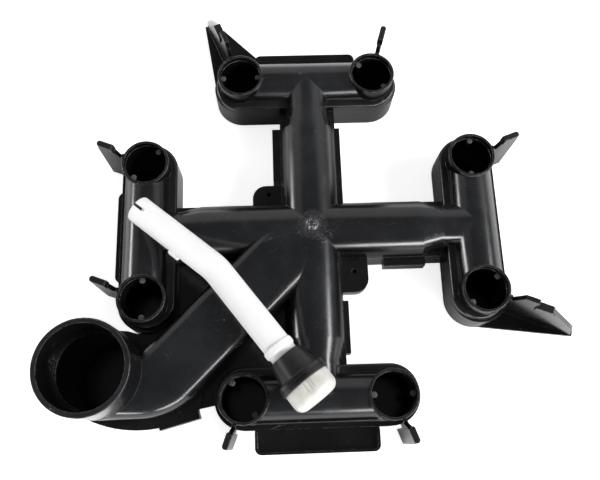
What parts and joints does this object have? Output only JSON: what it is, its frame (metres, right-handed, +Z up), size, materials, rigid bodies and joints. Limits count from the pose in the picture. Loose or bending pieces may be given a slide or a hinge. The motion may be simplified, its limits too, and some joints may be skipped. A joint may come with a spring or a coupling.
{
  "type": "pipe manifold",
  "caption": "Black moulded manifold: a cross of pipes with port sockets on its crossbars, one upturned outlet, and a loose white breather tube with strainer lying on top",
  "frame": {"origin": "on the flat underside, below the middle of the cross", "axes": "+Z up out of the ports, +X along the right arm, +Y along the top arm; the outlet lies towards -X -Y"},
  "size_m": [0.4079, 0.3816, 0.083],
  "materials": {
    "shell_black": "semi-gloss moulded",
    "tube_white": "satin",
    "cap_black": "satin",
    "strainer_clear": "cloudy, light shows through"
  },
  "bodies": {
    "root": {"upper_shell": "shell_black", "lower_shell": "shell_black", "breather_tube": "tube_white", "tube_cap": "cap_black", "strainer": "strainer_clear"}
  },
  "joints": []
}
